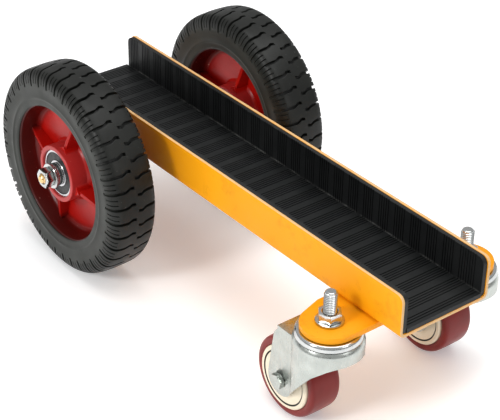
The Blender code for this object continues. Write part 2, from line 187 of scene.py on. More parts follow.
def makePaint(name, worn=False):
    material, tree, shader = startMaterial(name, paint["colour"], paint["roughness"])
    vector = objectCoordinates(tree)
    cloudy = patches(tree, vector, 9.0, 4.0, 0.35, 0.7)
    colour = blend(tree, cloudy, paint["colour"], paint["shade"])
    grime = patches(tree, vector, 34.0, 6.0, 0.56, 0.80, 0.7)
    colour = blend(tree, times(tree, grime, 0.45), colour, paint["brown"])
    # worn marks the bare sheet edges and also adds painted shade beside the rear wheels
    if worn:
        # painted shade beside the rear wheels: the walls turn brown towards the tyres, standing in for their
        # shadow
        axleX = jointAt["rear_wheel_left_spin"].x
        wheelShade = band(tree, along(tree, 0), axleX + 0.150, axleX + 0.055)
        colour = blend(tree, times(tree, wheelShade, 0.42), colour, paint["brown"])
        patchy = ramp(tree, noise(tree, vector, 120.0, 5.0, 0.65), [(0.30, 0.55), (0.55, 1.0)])
        edge = times(tree, attribute(tree, "edge"), patchy)
        colour = blend(tree, edge, colour, paint["worn"])
    chips = patches(tree, vector, 420.0, 3.0, 0.70, 0.735)
    colour = blend(tree, times(tree, chips, 0.5), colour, paint["brown"])
    tree.links.new(colour, shader.inputs["Base Color"])
    sheen = paint["roughness"]
    roughen(tree, shader, noise(tree, vector, 60.0, 4.0), sheen - 0.06, sheen + 0.08)
    shader.inputs["Specular IOR Level"].default_value = 0.22
    bump(tree, shader, noise(tree, vector, 700.0, 2.0), 0.12, 0.0004)
    return material


def makeLinerRubber():
    material, tree, shader = startMaterial("linerRubber", (0.006, 0.0065, 0.007), 0.5)
    vector = objectCoordinates(tree)
    dust = patches(tree, vector, 14.0, 6.0, 0.45, 0.85, 0.65)
    colour = blend(tree, dust, (0.0055, 0.0062, 0.0064), (0.0150, 0.0157, 0.0154))
    scuffs = patches(tree, objectCoordinates(tree, (1.0, 3.0, 1.4)), 85.0, 5.0, 0.72, 0.78, 0.7)
    colour = blend(tree, times(tree, scuffs, 0.25), colour, (0.12, 0.12, 0.11))
    # pale dust lies along the joint between floor and walls
    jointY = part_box("floor_liner")[1].y
    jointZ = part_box("floor_liner")[1].z
    across = calculate(tree, "ABSOLUTE", along(tree, 1))
    near = band(tree, across, jointY - 0.0010, jointY - 0.0002)
    below = band(tree, along(tree, 2), jointZ + 0.0012, jointZ + 0.0004)
    uneven = ramp(tree, noise(tree, vector, 60.0, 5.0, 0.7), [(0.42, 0.05), (0.62, 0.75)])
    dusty = times(tree, times(tree, near, below), uneven)
    colour = blend(tree, dusty, colour, (0.10, 0.10, 0.095))
    tree.links.new(colour, shader.inputs["Base Color"])
    roughen(tree, shader, noise(tree, vector, 35.0, 4.0), 0.42, 0.60)
    shader.inputs["Specular IOR Level"].default_value = 0.30
    bump(tree, shader, noise(tree, vector, 900.0, 3.0), 0.2, 0.0003)
    return material


def makeTyreRubber():
    material, tree, shader = startMaterial("tyreRubber", (0.030, 0.031, 0.029), 0.55)
    vector = objectCoordinates(tree)
    dust = patches(tree, vector, 22.0, 6.0, 0.35, 0.75, 0.6)
    # painted shade: the tread is coloured darker than the sidewall, standing in for the shade on the tread; the
    # dust pattern varies both
    tread = blend(tree, dust, (0.0078, 0.0084, 0.0074), (0.0150, 0.0160, 0.0142))
    sidewall = blend(tree, dust, (0.021, 0.0226, 0.0195), (0.034, 0.0362, 0.0310))
    wander = times(tree, noise(tree, vector, 30.0, 3.0), 0.006)
    reach = calculate(tree, "ADD", fromAxle(tree), wander)
    colour = blend(tree, band(tree, reach, 0.0900, 0.1010), sidewall, tread)
    specks = patches(tree, vector, 520.0, 2.0, 0.745, 0.76)
    colour = blend(tree, times(tree, specks, 0.3), colour, (0.30, 0.30, 0.28))
    tree.links.new(colour, shader.inputs["Base Color"])
    roughen(tree, shader, noise(tree, vector, 48.0, 5.0), 0.33, 0.50)
    shader.inputs["Specular IOR Level"].default_value = 0.20
    bump(tree, shader, noise(tree, vector, 1100.0, 3.0), 0.18, 0.0003)
    return material


def makeRimRed():
    material, tree, shader = startMaterial("rimRed", (0.42, 0.010, 0.008), 0.30)
    vector = objectCoordinates(tree)
    uneven = patches(tree, vector, 26.0, 4.0, 0.3, 0.75)
    colour = blend(tree, uneven, (0.43, 0.0055, 0.0026), (0.27, 0.0032, 0.0020))
    # painted shade: the barrel of the rim, beyond about 57 to 66 mm from the axle, is painted dark red
    colour = blend(tree, band(tree, fromAxle(tree), 0.0570, 0.0655), colour, (0.055, 0.0040, 0.0030))
    # painted highlight: the hub's end face, inside about 28 to 30 mm from the axle, is painted pinker, standing in
    # for its reflection
    hubHighlight = times(tree, band(tree, fromAxle(tree), 0.0300, 0.0278), 0.35)
    colour = blend(tree, hubHighlight, colour, (0.50, 0.085, 0.085))
    chips = patches(tree, vector, 330.0, 4.0, 0.735, 0.75)
    colour = blend(tree, times(tree, chips, 0.5), colour, (0.62, 0.30, 0.24))
    tree.links.new(colour, shader.inputs["Base Color"])
    shader.inputs["Specular IOR Level"].default_value = 0.22
    bump(tree, shader, noise(tree, vector, 240.0, 4.0), 0.16, 0.0006)
    return material


def makeZinc(name, colour, tint, roughness=0.22, brush=(1.0, 1.0, 1.0)):
    material, tree, shader = startMaterial(name, colour, roughness, 1.0)
    vector = objectCoordinates(tree)
    clouds = patches(tree, vector, 70.0, 5.0, 0.3, 0.72, 0.6)
    tree.links.new(blend(tree, clouds, colour, tint), shader.inputs["Base Color"])
    grain = noise(tree, objectCoordinates(tree, brush), 260.0, 4.0, 0.65)
    roughen(tree, shader, grain, roughness - 0.06, roughness + 0.10)
    bump(tree, shader, grain, 0.10, 0.0003)
    return material


def makeCasterRed():
    material, tree, shader = startMaterial("casterRed", (0.20, 0.022, 0.024), 0.34)
    vector = objectCoordinates(tree)
    cloudy = patches(tree, vector, 40.0, 5.0, 0.3, 0.75)
    colour = blend(tree, cloudy, (0.215, 0.0165, 0.0140), (0.150, 0.0115, 0.0100))
    tree.links.new(colour, shader.inputs["Base Color"])
    roughen(tree, shader, noise(tree, vector, 120.0, 4.0), 0.28, 0.42)
    shader.inputs["Specular IOR Level"].default_value = 0.26
    shader.inputs["Subsurface Weight"].default_value = 0.08
    shader.inputs["Subsurface Radius"].default_value = (0.004, 0.0012, 0.0012)
    shader.inputs["Subsurface Scale"].default_value = 1.0
    bump(tree, shader, noise(tree, vector, 500.0, 3.0), 0.08, 0.0003)
    return material


def makeCream():
    material, tree, shader = startMaterial("creamNylon", (0.74, 0.62, 0.46), 0.42)
    vector = objectCoordinates(tree)
    cloudy = patches(tree, vector, 55.0, 4.0, 0.3, 0.8)
    colour = blend(tree, cloudy, (0.82, 0.72, 0.56), (0.73, 0.64, 0.48))
    # painted shade in the gap round the side disc: the gap is painted near black
    radius = fromAxle(tree, "caster_wheel_left_roll")
    pastDisc = band(tree, radius, 0.0247, 0.0250)
    insideRim = band(tree, radius, 0.0265, 0.0261)
    gapShade = times(tree, pastDisc, insideRim)
    colour = blend(tree, gapShade, colour, (0.022, 0.020, 0.016))
    tree.links.new(colour, shader.inputs["Base Color"])
    bump(tree, shader, noise(tree, vector, 600.0, 3.0), 0.12, 0.0003)
    return material


def makeSeal():
    material, tree, shader = startMaterial("bearingSeal", (0.010, 0.011, 0.0115), 0.4)
    vector = objectCoordinates(tree)
    roughen(tree, shader, noise(tree, vector, 180.0, 4.0), 0.28, 0.5, start=0.4)
    shader.inputs["Specular IOR Level"].default_value = 0.30
    bump(tree, shader, noise(tree, vector, 700.0, 3.0), 0.1, 0.0003)
    return material


finish = {
    "troughPaint": makePaint("troughPaint", worn=True),
    "platePaint": makePaint("platePaint"),
    "linerRubber": makeLinerRubber(),
    "tyreRubber": makeTyreRubber(),
    "rimRed": makeRimRed(),
    "zinc": makeZinc("brightZinc", (0.60, 0.61, 0.60), (0.46, 0.48, 0.48), 0.16),
    "forkZinc": makeZinc("forkZinc", (0.50, 0.525, 0.495), (0.40, 0.425, 0.40), 0.27, (1.0, 1.0, 0.25)),
    "yellowZinc": makeZinc("yellowZinc", (0.78, 0.46, 0.13), (0.80, 0.60, 0.36), 0.20),
    "steel": makeZinc("groundSteel", (0.62, 0.62, 0.63), (0.52, 0.52, 0.54), 0.18),
    "casterRed": makeCasterRed(),
    "cream": makeCream(),
    "seal": makeSeal(),
}
nodeFinish = {
    "yellow_paint": "platePaint", "bearing_steel": "steel", "zinc": "zinc", "cream_nylon": "cream",
    "liner_rubber": "linerRubber", "tyre_rubber": "tyreRubber", "red_rim": "rimRed",
    "caster_red": "casterRed",
}
for part in frame["record"]["subparts"]:
    nodeMaterials = nodes[part["node"]].data.materials
    nodeMaterials.clear()
    nodeMaterials.append(finish[nodeFinish[part["material_slot"]]])
print("materials ready")


softBevel = {"segments": 2, "from": 40.0}  # edges steeper than this many degrees are softened


def finishPiece(name, shape, finishName, body, place=Matrix(), replaced=(), sharp=32.0, smoothEdge=None):
    # sharp: edges steeper than this many degrees keep a crease; smoothEdge: width of a soft bevel
    mesh = shape
    if isinstance(shape, bmesh.types.BMesh):
        mesh = bpy.data.meshes.new(name)
        shape.to_mesh(mesh)
        shape.free()
    mesh.transform(place)
    mesh.materials.clear()
    mesh.materials.append(finish[finishName])
    mesh.shade_smooth()
    mesh.set_sharp_from_angle(angle=math.radians(sharp))
    piece = bpy.data.objects.new(name, mesh)
    bpy.context.scene.collection.objects.link(piece)
    if smoothEdge:
        bevel = piece.modifiers.new("softEdges", "BEVEL")
        bevel.width = smoothEdge
        bevel.segments = softBevel["segments"]
        bevel.limit_method = "ANGLE"
        bevel.angle_limit = math.radians(softBevel["from"])
        settle(piece)
        piece.data.shade_smooth()
        piece.data.set_sharp_from_angle(angle=math.radians(sharp))
    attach(piece, body)
    if replaced:
        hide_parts(*replaced)
    return piece


def settle(piece):
    # applies every modifier of a piece to its mesh
    graph = bpy.context.evaluated_depsgraph_get()
    mesh = bpy.data.meshes.new_from_object(piece.evaluated_get(graph))
    piece.modifiers.clear()
    piece.data = mesh


def spun(points, steps):
    # turns a closed profile of (radius, height) points round the local Z axis
    shape = bmesh.new()
    corners = [shape.verts.new((radius, 0.0, height)) for radius, height in points]
    for first, second in zip(corners, corners[1:] + corners[:1]):
        if first.co.x > tiny or second.co.x > tiny:
            shape.edges.new((first, second))
    bmesh.ops.spin(shape, geom=shape.verts[:] + shape.edges[:], cent=(0, 0, 0), axis=(0, 0, 1),
                   dvec=(0, 0, 0), angle=fullTurn, steps=steps, use_merge=True, use_duplicate=False)
    bmesh.ops.remove_doubles(shape, verts=shape.verts, dist=tiny)
    bmesh.ops.recalc_face_normals(shape, faces=shape.faces)
    return shape


def rod(radius, low, high, steps):
    return spun([(0, high), (radius, high), (radius, low), (0, low)], steps)


straightEnough = 2.7  # radians between two sides of a profile that pass as one line
sideShare = 0.45  # most of a side that one rounded corner may take


def rounded(points, radius, segments=3):
    # rounds the corners of a closed profile
    shaped = []
    count = len(points)
    for index, corner in enumerate(points):
        here = Vector(corner)
        before = Vector(points[index - 1]) - here
        after = Vector(points[(index + 1) % count]) - here
        onAxis = here.x < tiny
        if onAxis or before.length < tiny or after.length < tiny or before.angle(after) > straightEnough:
            shaped.append(tuple(here))
            continue
        reach = min(radius, before.length * sideShare, after.length * sideShare)
        start = here + before.normalized() * reach
        end = here + after.normalized() * reach
        for step in range(segments + 1):
            share = step / segments
            point = start * (1 - share) ** 2 + here * 2 * share * (1 - share) + end * share ** 2
            shaped.append(tuple(point))
    return shaped


def ringProfile(inner, outer, low, high, edge=0.0004):
    return rounded([(outer, high), (outer, low), (inner, low), (inner, high)], edge)


def prism(outline, low, high):
    # a flat outline in XY, raised from low to high
    shape = bmesh.new()
    corners = [shape.verts.new((x, y, low)) for x, y in outline]
    base = shape.faces.new(corners)
    raised = bmesh.ops.extrude_face_region(shape, geom=[base], use_keep_orig=True)["geom"]
    moved = [item for item in raised if isinstance(item, bmesh.types.BMVert)]
    bmesh.ops.translate(shape, verts=moved, vec=(0, 0, high - low))
    bmesh.ops.recalc_face_normals(shape, faces=shape.faces)
    return shape


def arc(centre, radius, start, end, steps):
    angles = [math.radians(start + (end - start) * step / steps) for step in range(steps + 1)]
    return [(centre[0] + radius * math.cos(a), centre[1] + radius * math.sin(a)) for a in angles]


def asMesh(shape, place=Matrix()):
    mesh = bpy.data.meshes.new("working")
    shape.to_mesh(mesh)
    shape.free()
    mesh.transform(place)
    return mesh


def combined(target, *steps):
    # steps are (operation, mesh) pairs done in order by the Boolean modifier
    base = bpy.data.objects.new("working", target)
    bpy.context.scene.collection.objects.link(base)
    helpers = []
    for operation, mesh in steps:
        helper = bpy.data.objects.new("workingHelper", mesh)
        bpy.context.scene.collection.objects.link(helper)
        helpers.append(helper)
        modifier = base.modifiers.new(operation, "BOOLEAN")
        modifier.operation = operation
        modifier.object = helper
    bpy.context.view_layer.update()
    settle(base)
    result = base.data
    bpy.data.objects.remove(base)
    for helper in helpers:
        bpy.data.objects.remove(helper)
    return result


def mergeInto(shape, other, place=Matrix()):
    # adds another bmesh's faces to a bmesh
    mesh = asMesh(other, place)
    shape.from_mesh(mesh)
    bpy.data.meshes.remove(mesh)


def threadRidge(radius, pitch, low, high, depth, steps=28):
    # a helical tooth, swept up round a core
    turns = (high - low) / pitch - 1
    total = max(1, round(turns * steps))
    shape = bmesh.new()
    tooth = [(radius - depth, 0.0), (radius, pitch * 0.5), (radius - depth, pitch)]
    corners = [shape.verts.new((r, 0.0, low + z)) for r, z in tooth]
    edges = [shape.edges.new(pair) for pair in ((corners[0], corners[1]), (corners[1], corners[2]),
                                                (corners[2], corners[0]))]
    shape.faces.new(corners)
    done = bmesh.ops.spin(shape, geom=edges, cent=(0, 0, 0), axis=(0, 0, 1),
                          dvec=(0, 0, pitch / steps), angle=fullTurn * total / steps, steps=total,
                          use_merge=False, use_duplicate=False)["geom_last"]
    last = [item for item in done if isinstance(item, bmesh.types.BMEdge)]
    bmesh.ops.edgeloop_fill(shape, edges=last)
    bmesh.ops.recalc_face_normals(shape, faces=shape.faces)
    return shape


nutWork = {"coneShare": 0.55, "coneInset": 0.0002, "boreChamfer": 0.0008}


def nutShape(flats, bore, low, high, chamfer=0.0011):
    # a hexagon whose corners are turned down to a cone at both ends; without a bore it is a bolt's head
    corner = flats / math.sqrt(3)
    hexagon = prism(arc((0, 0), corner, 0, 300, 5), low, high)
    drop = chamfer * nutWork["coneShare"]
    inset = nutWork["coneInset"]
    cones = spun([(0, high + tiny), (flats / 2 - inset, high + tiny), (corner + inset, high - drop),
                  (corner + inset, low + drop), (flats / 2 - inset, low - tiny), (0, low - tiny)], 48)
    steps = [("INTERSECT", asMesh(cones))]
    if bore > 0:
        lead = nutWork["boreChamfer"]
        hole = spun([(0, high + beyond), (bore + lead, high + beyond), (bore + lead, high),
                     (bore, high - lead), (bore, low + lead), (bore + lead, low),
                     (bore + lead, low - beyond), (0, low - beyond)], 32)
        steps.append(("DIFFERENCE", asMesh(hole)))
    return combined(asMesh(hexagon), *steps)


def outboard(side):
    # turns the local Z axis to point away from the trough
    return Matrix.Rotation(math.radians(-90 * sides[side]), 4, "X")


sideView = Matrix.Rotation(math.radians(90), 4, "X")


view = {
    "position": (1.00796, -0.80109, 0.89304),
    "azimuth": 51.453,
    "elevation": 32.065,
    "roll": 1.02,
    "lens": 115.70,
}
cameraData = bpy.data.cameras.new("camera")
cameraData.lens = view["lens"]
cameraData.sensor_width = 36.0
cameraData.clip_end = 20.0
camera = bpy.data.objects.new("camera", cameraData)
camera.matrix_world = (
    Matrix.Translation(view["position"])
    @ Matrix.Rotation(math.radians(view["azimuth"]), 4, "Z")
    @ Matrix.Rotation(math.radians(90 - view["elevation"]), 4, "X")
    @ Matrix.Rotation(math.radians(view["roll"]), 4, "Z")
)
bpy.context.scene.collection.objects.link(camera)
bpy.context.scene.camera = camera

floorShape = bmesh.new()
bmesh.ops.create_grid(floorShape, x_segments=1, y_segments=1, size=6.0)
floorMesh = bpy.data.meshes.new("floor")
floorShape.to_mesh(floorMesh)
floorShape.free()
floorMaterial, _, floorShader = startMaterial("paleFloor", (0.93, 0.93, 0.93), 0.7)
floorShader.inputs["Emission Color"].default_value = (0.97, 0.98, 1.0, 1.0)
floorShader.inputs["Emission Strength"].default_value = 0.22
floorMesh.materials.append(floorMaterial)
floor = bpy.data.objects.new("floor", floorMesh)
bpy.context.scene.collection.objects.link(floor)

lamps = {
    "key": {"at": (0.1, -2.3, 1.5), "size": 0.6, "power": 32.0},
    "top": {"at": (0.2, 0.3, 2.6), "size": 2.4, "power": 46.0},
    "front": {"at": (2.3, 0.5, 1.2), "size": 0.7, "power": 6.0},
}
for lampName, lamp in lamps.items():
    lampData = bpy.data.lights.new(lampName, "AREA")
    lampData.size = lamp["size"]
    lampData.energy = lamp["power"]
    lampObject = bpy.data.objects.new(lampName, lampData)
    lampObject.location = lamp["at"]
    lampObject.rotation_euler = (Vector((0, 0, 0.1)) - Vector(lamp["at"])).to_track_quat("-Z", "Y").to_euler()
    bpy.context.scene.collection.objects.link(lampObject)

world = bpy.data.worlds.new("studio")
world.use_nodes = True
bpy.context.scene.world = world
background = world.node_tree.nodes["Background"]
sky = world.node_tree
direction = sky.nodes.new("ShaderNodeTexCoord")
splitSky = sky.nodes.new("ShaderNodeSeparateXYZ")
sky.links.new(direction.outputs["Generated"], splitSky.inputs[0])
tone = ramp(sky, splitSky.outputs[2], [(0.0, 0.30), (0.14, 0.34), (0.24, 0.92), (0.60, 0.70), (1.0, 1.0)])
sky.links.new(tone, background.inputs["Color"])
background.inputs["Strength"].default_value = 0.75
bpy.context.scene.view_settings.view_transform = "Standard"
print("stage ready")


trough = {"sheet": 0.003, "bend": 0.006, "clip": 0.007, "softEdge": 0.0005}
troughLow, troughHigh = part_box("trough")


def makeTrough():
    # an open surface bent from the sheet's outer face, then thickened inwards
    bend = trough["bend"]
    corner = arc((troughLow.y + bend, troughLow.z + bend), bend, 180, 270, 12)
    section = [(troughLow.y, troughHigh.z), *corner]
    section += [(-y, z) for y, z in reversed(section)]
    shape = bmesh.new()
    points = [shape.verts.new((troughLow.x, y, z)) for y, z in section]
    edges = [shape.edges.new(pair) for pair in zip(points, points[1:])]
    swept = bmesh.ops.extrude_edge_only(shape, edges=edges)["geom"]
    moved = [item for item in swept if isinstance(item, bmesh.types.BMVert)]
    bmesh.ops.translate(shape, verts=moved, vec=(troughHigh.x - troughLow.x, 0, 0))
    tops = [vert for vert in shape.verts if vert.co.z > troughHigh.z - tiny]
    bmesh.ops.bevel(shape, geom=tops, offset=trough["clip"], segments=8, profile=0.5,
                    affect="VERTICES", material=-1)
    bmesh.ops.recalc_face_normals(shape, faces=shape.faces)
    if sum(face.normal.z * face.calc_area() for face in shape.faces) > 0:
        bmesh.ops.reverse_faces(shape, faces=shape.faces)
    mesh = asMesh(shape)
    piece = bpy.data.objects.new("working", mesh)
    bpy.context.scene.collection.objects.link(piece)
    wall = piece.modifiers.new("wall", "SOLIDIFY")
    wall.thickness = trough["sheet"]
    wall.offset = -1.0
    wall.use_even_offset = True
    bpy.context.view_layer.update()
    settle(piece)
    solid = piece.data
    bpy.data.objects.remove(piece)
    piece = finishPiece("troughChannel", solid, "troughPaint", "frame", replaced=["trough"],
                        smoothEdge=trough["softEdge"])
    # the cut edges of the sheet are marked, because the paint has worn off them
    edge = piece.data.attributes.new("edge", "FLOAT", "FACE")
    for face in piece.data.polygons:
        alongTop = abs(face.normal.y) < 0.75 and face.center.z > troughLow.z + trough["bend"]
        acrossEnd = abs(face.normal.x) > 0.6
        edge.data[face.index].value = 1.0 if alongTop or acrossEnd else 0.0


makeTrough()

ribs = {
    "pitch": 0.0029,
    "groove": 0.0012,
    "depth": 0.0010,
    "perGroup": 5,
    "flat": 0.0088,  # plain band between two groups of grooves
    "floor": {"endBand": 0.0050, "firstGroup": 3},  # at the front end of the trough
    "wall": {"endBand": 0.0105, "firstGroup": 7},
    "slopeShare": 0.2,  # of a groove's width, taken by each sloping wall
}
liner = {
    "gap": 0.0002,  # between the floor strip's thin edge and the wall strip above it
    "overlap": 0.0005,
    "bendGap": 0.0003,
    "setback": 0.001,
    "reach": 0.1,  # half width of the block that clips the wall strips
}


def ribLine(start, end, top, frontEnd):
    # top line of a ribbed strip; the groups of grooves are counted from its front end
    grooves = []
    here = end - frontEnd["endBand"]
    count = frontEnd["firstGroup"]
    while here > start + ribs["pitch"]:
        grooves += [here - index * ribs["pitch"] for index in range(count)]
        here -= (count - 1) * ribs["pitch"] + ribs["flat"]
        count = ribs["perGroup"]
    slope = ribs["groove"] * ribs["slopeShare"]
    points = [(start, top)]
    for left in reversed([x for x in grooves if x > start + ribs["pitch"]]):
        right = left + ribs["groove"]
        points += [(left, top), (left + slope, top - ribs["depth"]), (right - slope, top - ribs["depth"]),
                   (right, top)]
    points.append((end, top))
    return points


def ribbedStrip(start, end, bottom, top, side, otherSide, frontEnd):
    # ribs cross the strip; side and otherSide are its edges along Y
    shape = bmesh.new()
    points = [shape.verts.new((x, side, z)) for x, z in ribLine(start, end, top, frontEnd)]
    edges = [shape.edges.new(pair) for pair in zip(points, points[1:])]
    lowered = bmesh.ops.extrude_edge_only(shape, edges=edges)["geom"]
    for vert in [item for item in lowered if isinstance(item, bmesh.types.BMVert)]:
        vert.co.z = bottom
    raised = bmesh.ops.extrude_face_region(shape, geom=shape.faces[:], use_keep_orig=True)["geom"]
    moved = [item for item in raised if isinstance(item, bmesh.types.BMVert)]
    bmesh.ops.translate(shape, verts=moved, vec=(0, otherSide - side, 0))
    bmesh.ops.recalc_face_normals(shape, faces=shape.faces)
    return shape


def makeLiners():
    first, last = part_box("floor_liner")
    floorStrip = ribbedStrip(first.x, last.x, first.z, last.z, first.y, last.y, ribs["floor"])
    # its thin edges run on under the wall strips, into the bends of the trough
    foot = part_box("wall_liner_left")[0].z - liner["gap"]
    bendCentre = (-troughLow.y - trough["bend"], troughLow.z + trough["bend"])
    inner = last.y - liner["overlap"]
    tuck = [(inner, foot), (inner, first.z)]
    tuck += arc(bendCentre, trough["bend"] - trough["sheet"] - liner["bendGap"], -90, 3, 8)
    for mirrored in (1, -1):
        edge = prism(tuck, first.x + liner["setback"], last.x - liner["setback"])
        lying = Matrix(((0, 0, 1, 0), (mirrored, 0, 0, 0), (0, 1, 0, 0), (0, 0, 0, 1)))
        mergeInto(floorStrip, edge, lying)
    bmesh.ops.recalc_face_normals(floorStrip, faces=floorStrip.faces)
    finishPiece("floorRubber", floorStrip, "linerRubber", "frame", replaced=["floor_liner"])
    for side, sign in sides.items():
        first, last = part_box(f"wall_liner_{side}")
        thickness = last.y - first.y
        # made lying down, then stood up against its wall
        strip = ribbedStrip(first.x, last.x, 0.0, thickness, 0.0, last.z - first.z, ribs["wall"])
        if sign < 0:
            stand = Matrix(((1, 0, 0, 0), (0, 0, 1, first.y), (0, 1, 0, first.z), (0, 0, 0, 1)))
        else:
            stand = Matrix(((1, 0, 0, 0), (0, 0, -1, last.y), (0, 1, 0, first.z), (0, 0, 0, 1)))
        strip.transform(stand)
        bmesh.ops.recalc_face_normals(strip, faces=strip.faces)
        clip = trough["clip"]
        outline = [(first.x - tiny, first.z - tiny), (last.x + tiny, first.z - tiny)]
        outline += arc((last.x - clip, last.z - clip), clip, 0, 90, 10)
        outline += arc((first.x + clip, last.z - clip), clip, 90, 180, 10)
        clipped = asMesh(prism(outline, -liner["reach"], liner["reach"]), sideView)
        wall = combined(asMesh(strip), ("INTERSECT", clipped))
        finishPiece(f"wallRubber_{side}", wall, "linerRubber", "frame", replaced=[f"wall_liner_{side}"])


makeLiners()
print("trough ready")


plate = {
    "earRadius": 0.0255, "earTurn": 155, "flare": 0.0045, "flareAt": 0.012, "boreRadius": 0.0063,
    "softEdge": 0.0009,
}


def makePlate():
    first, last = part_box("caster_plate")
    stem = jointAt["caster_left_swivel"]
    ear = arc((0, 0), plate["earRadius"], 0, plate["earTurn"], 40)
    ear.append((-plate["earRadius"] - plate["flare"], -plate["flareAt"]))
    left = [(stem.x + x, stem.y + y) for x, y in ear]
    right = [(x, -y) for x, y in reversed(left)]
    holes = []
    for sign in sides.values():
        hole = rod(plate["boreRadius"], first.z - beyond, last.z + beyond, 32)
        holes.append(("DIFFERENCE", asMesh(hole, Matrix.Translation((stem.x, sign * stem.y, 0)))))
    solid = combined(asMesh(prism(left + right, first.z, last.z)), *holes)
    finishPiece("casterPlate", solid, "platePaint", "frame", replaced=["caster_plate"],
                smoothEdge=plate["softEdge"])


makePlate()

stemWork = {
    "core": 0.00515, "radius": 0.006, "pitch": 0.00175, "threadDepth": 0.0011,
    "head": 0.009, "headTop": 0.004, "headBottom": 0.0015, "spigot": 0.007, "lead": 0.0010,
    "flats": 0.019, "washer": 0.0125, "nutTurn": {"right": 22, "left": 8}, "softEdge": 0.00025,
}


def makeStem(side):
    stem = jointAt[f"caster_{side}_swivel"]
    place = Matrix.Translation((stem.x, stem.y, 0))
    first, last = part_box(f"caster_stem_{side}")
    washerLow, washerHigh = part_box(f"stem_washer_{side}")
    nutLow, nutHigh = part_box(f"stem_nut_{side}")
    core, radius, lead = stemWork["core"], stemWork["radius"], stemWork["lead"]
    head = stemWork["head"]
    headTop, headBottom = first.z + stemWork["headTop"], first.z + stemWork["headBottom"]
    body = spun(rounded([
        (0.0, last.z - 0.0002), (core - 0.0012, last.z), (core, last.z - lead), (core, washerHigh.z),
        (radius, washerHigh.z), (radius, headTop), (head, headTop), (head, headBottom),
        (stemWork["spigot"], first.z), (0.0, first.z)], 0.0003, 2), 48)
    ridge = threadRidge(radius, stemWork["pitch"], washerHigh.z + 0.002, last.z - 0.0006,
                        stemWork["threadDepth"])
    mergeInto(body, ridge)
    finishPiece(f"stemThread_{side}", body, "zinc", "frame", place, [f"caster_stem_{side}"])
    washer = spun(ringProfile(radius + 0.0003, stemWork["washer"], washerLow.z, washerHigh.z, 0.0005), 64)
    finishPiece(f"stemWasher_{side}", washer, "zinc", "frame", place, [f"stem_washer_{side}"])
    nut = nutShape(stemWork["flats"], radius + 0.0002, nutLow.z, nutHigh.z)
    turn = Matrix.Rotation(math.radians(stemWork["nutTurn"][side]), 4, "Z")
    finishPiece(f"stemNut_{side}", nut, "zinc", "frame", place @ turn, [f"stem_nut_{side}"],
                smoothEdge=stemWork["softEdge"])


for side in sides:
    makeStem(side)
print("stems ready")


casterWork = {
    "raceRadius": 0.0295, "raceWall": 0.002, "raceBore": 0.0063, "raceRound": 0.0016,
    "forkHalf": 0.021, "forkSheet": 0.0025, "forkRound": 0.031, "forkRear": 0.042, "forkBore": 0.007,
    "lip": 0.0008, "bulge": 0.0015, "cupDepth": 0.0058, "cupRound": 0.0009, "ledgeFront": 0.0180,
    "tip": 0.016, "boltHole": 0.0043, "softEdge": 0.0006,
}


def makeRaces(side, place):
    radius, wall, bore = casterWork["raceRadius"], casterWork["raceWall"], casterWork["raceBore"]
    first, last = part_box(f"upper_race_{side}")
    profile = rounded([(radius - 0.0016, last.z), (radius - 0.0002, last.z - 0.0026), (radius, first.z),
                       (radius - wall, first.z), (radius - wall, last.z - wall),
                       (bore, last.z - wall), (bore, last.z)], casterWork["raceRound"], 6)
    finishPiece(f"upperRace_{side}", spun(profile, 112), "zinc", "frame", place, [f"upper_race_{side}"])


def forkCup(cupTop, legTop):
    # the round cup that holds both rows of balls; it bulges a little below its lip
    sheet, radius, bore = casterWork["forkSheet"], casterWork["raceRadius"], casterWork["forkBore"]
    rolled, widest = cupTop + casterWork["lip"], radius + casterWork["bulge"]
    profile = [(radius - 0.0004, rolled), (radius + 0.0002, cupTop - 0.0004),
               (radius + 0.0011, cupTop - 0.0018), (widest, cupTop - 0.0036),
               (widest, legTop - sheet), (radius - sheet, legTop - sheet),
               (radius - sheet, cupTop - sheet), (bore, cupTop - sheet), (bore, cupTop),
               (radius - 0.0016, cupTop), (radius - 0.0010, rolled)]
    return spun(rounded(profile, casterWork["cupRound"], 3), 96)


